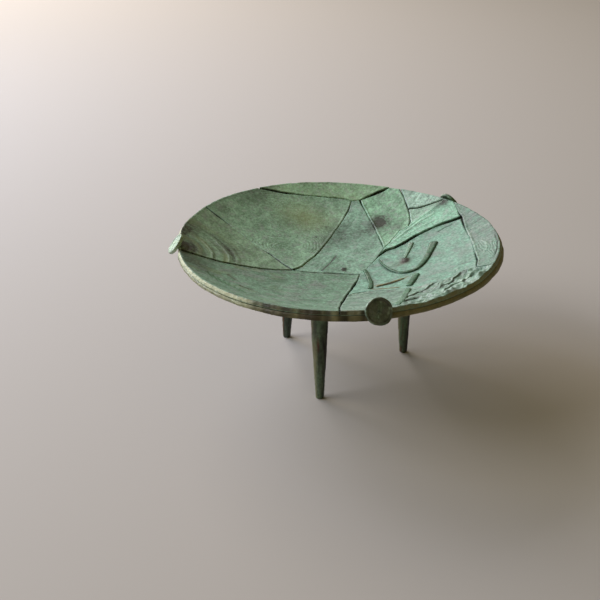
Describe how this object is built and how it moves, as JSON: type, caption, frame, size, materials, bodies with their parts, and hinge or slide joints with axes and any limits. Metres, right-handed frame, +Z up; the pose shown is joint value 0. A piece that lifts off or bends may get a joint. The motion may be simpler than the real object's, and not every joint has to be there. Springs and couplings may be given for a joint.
{
  "type": "footed bowl",
  "caption": "Shallow round bronze bowl on tapered legs, lined with thin patinated plates that meet along open seams, with bars laid on them and discs fixed to the rim.",
  "frame": {"origin": "on the ground, under the middle of the part's overall box", "axes": "+Z up; -Y towards the front leg and the front disc; +X to the right"},
  "size_m": [0.3134, 0.3058, 0.145],
  "materials": {
    "lining": "bronze with a matt blue-green patina",
    "bars": "bronze with a dark green-brown patina",
    "discs": "bronze with a dark olive-brown patina",
    "legs": "bronze with a dark green patina",
    "shell": "bronze with an olive-brown patina"
  },
  "bodies": {
    "root": {"front_left_plate": "lining", "ring_plate": "lining", "grain_plate": "lining", "back_plate": "lining", "square_plate": "lining", "centre_plate": "lining", "shard_plate": "lining", "wedge_plate": "lining", "band_plate": "lining", "hook_plate": "lining", "right_plate": "lining", "ragged_plate": "lining", "front_plate": "lining", "hook_bar": "bars", "tick_bar": "bars", "heel_bar": "bars", "brown_bar": "bars", "stub_bar": "bars", "rim_bar": "bars", "left_disc": "discs", "front_disc": "discs", "back_disc": "discs", "front_leg": "legs", "right_leg": "legs", "back_left_leg": "legs", "shell": "shell"}
  },
  "joints": []
}
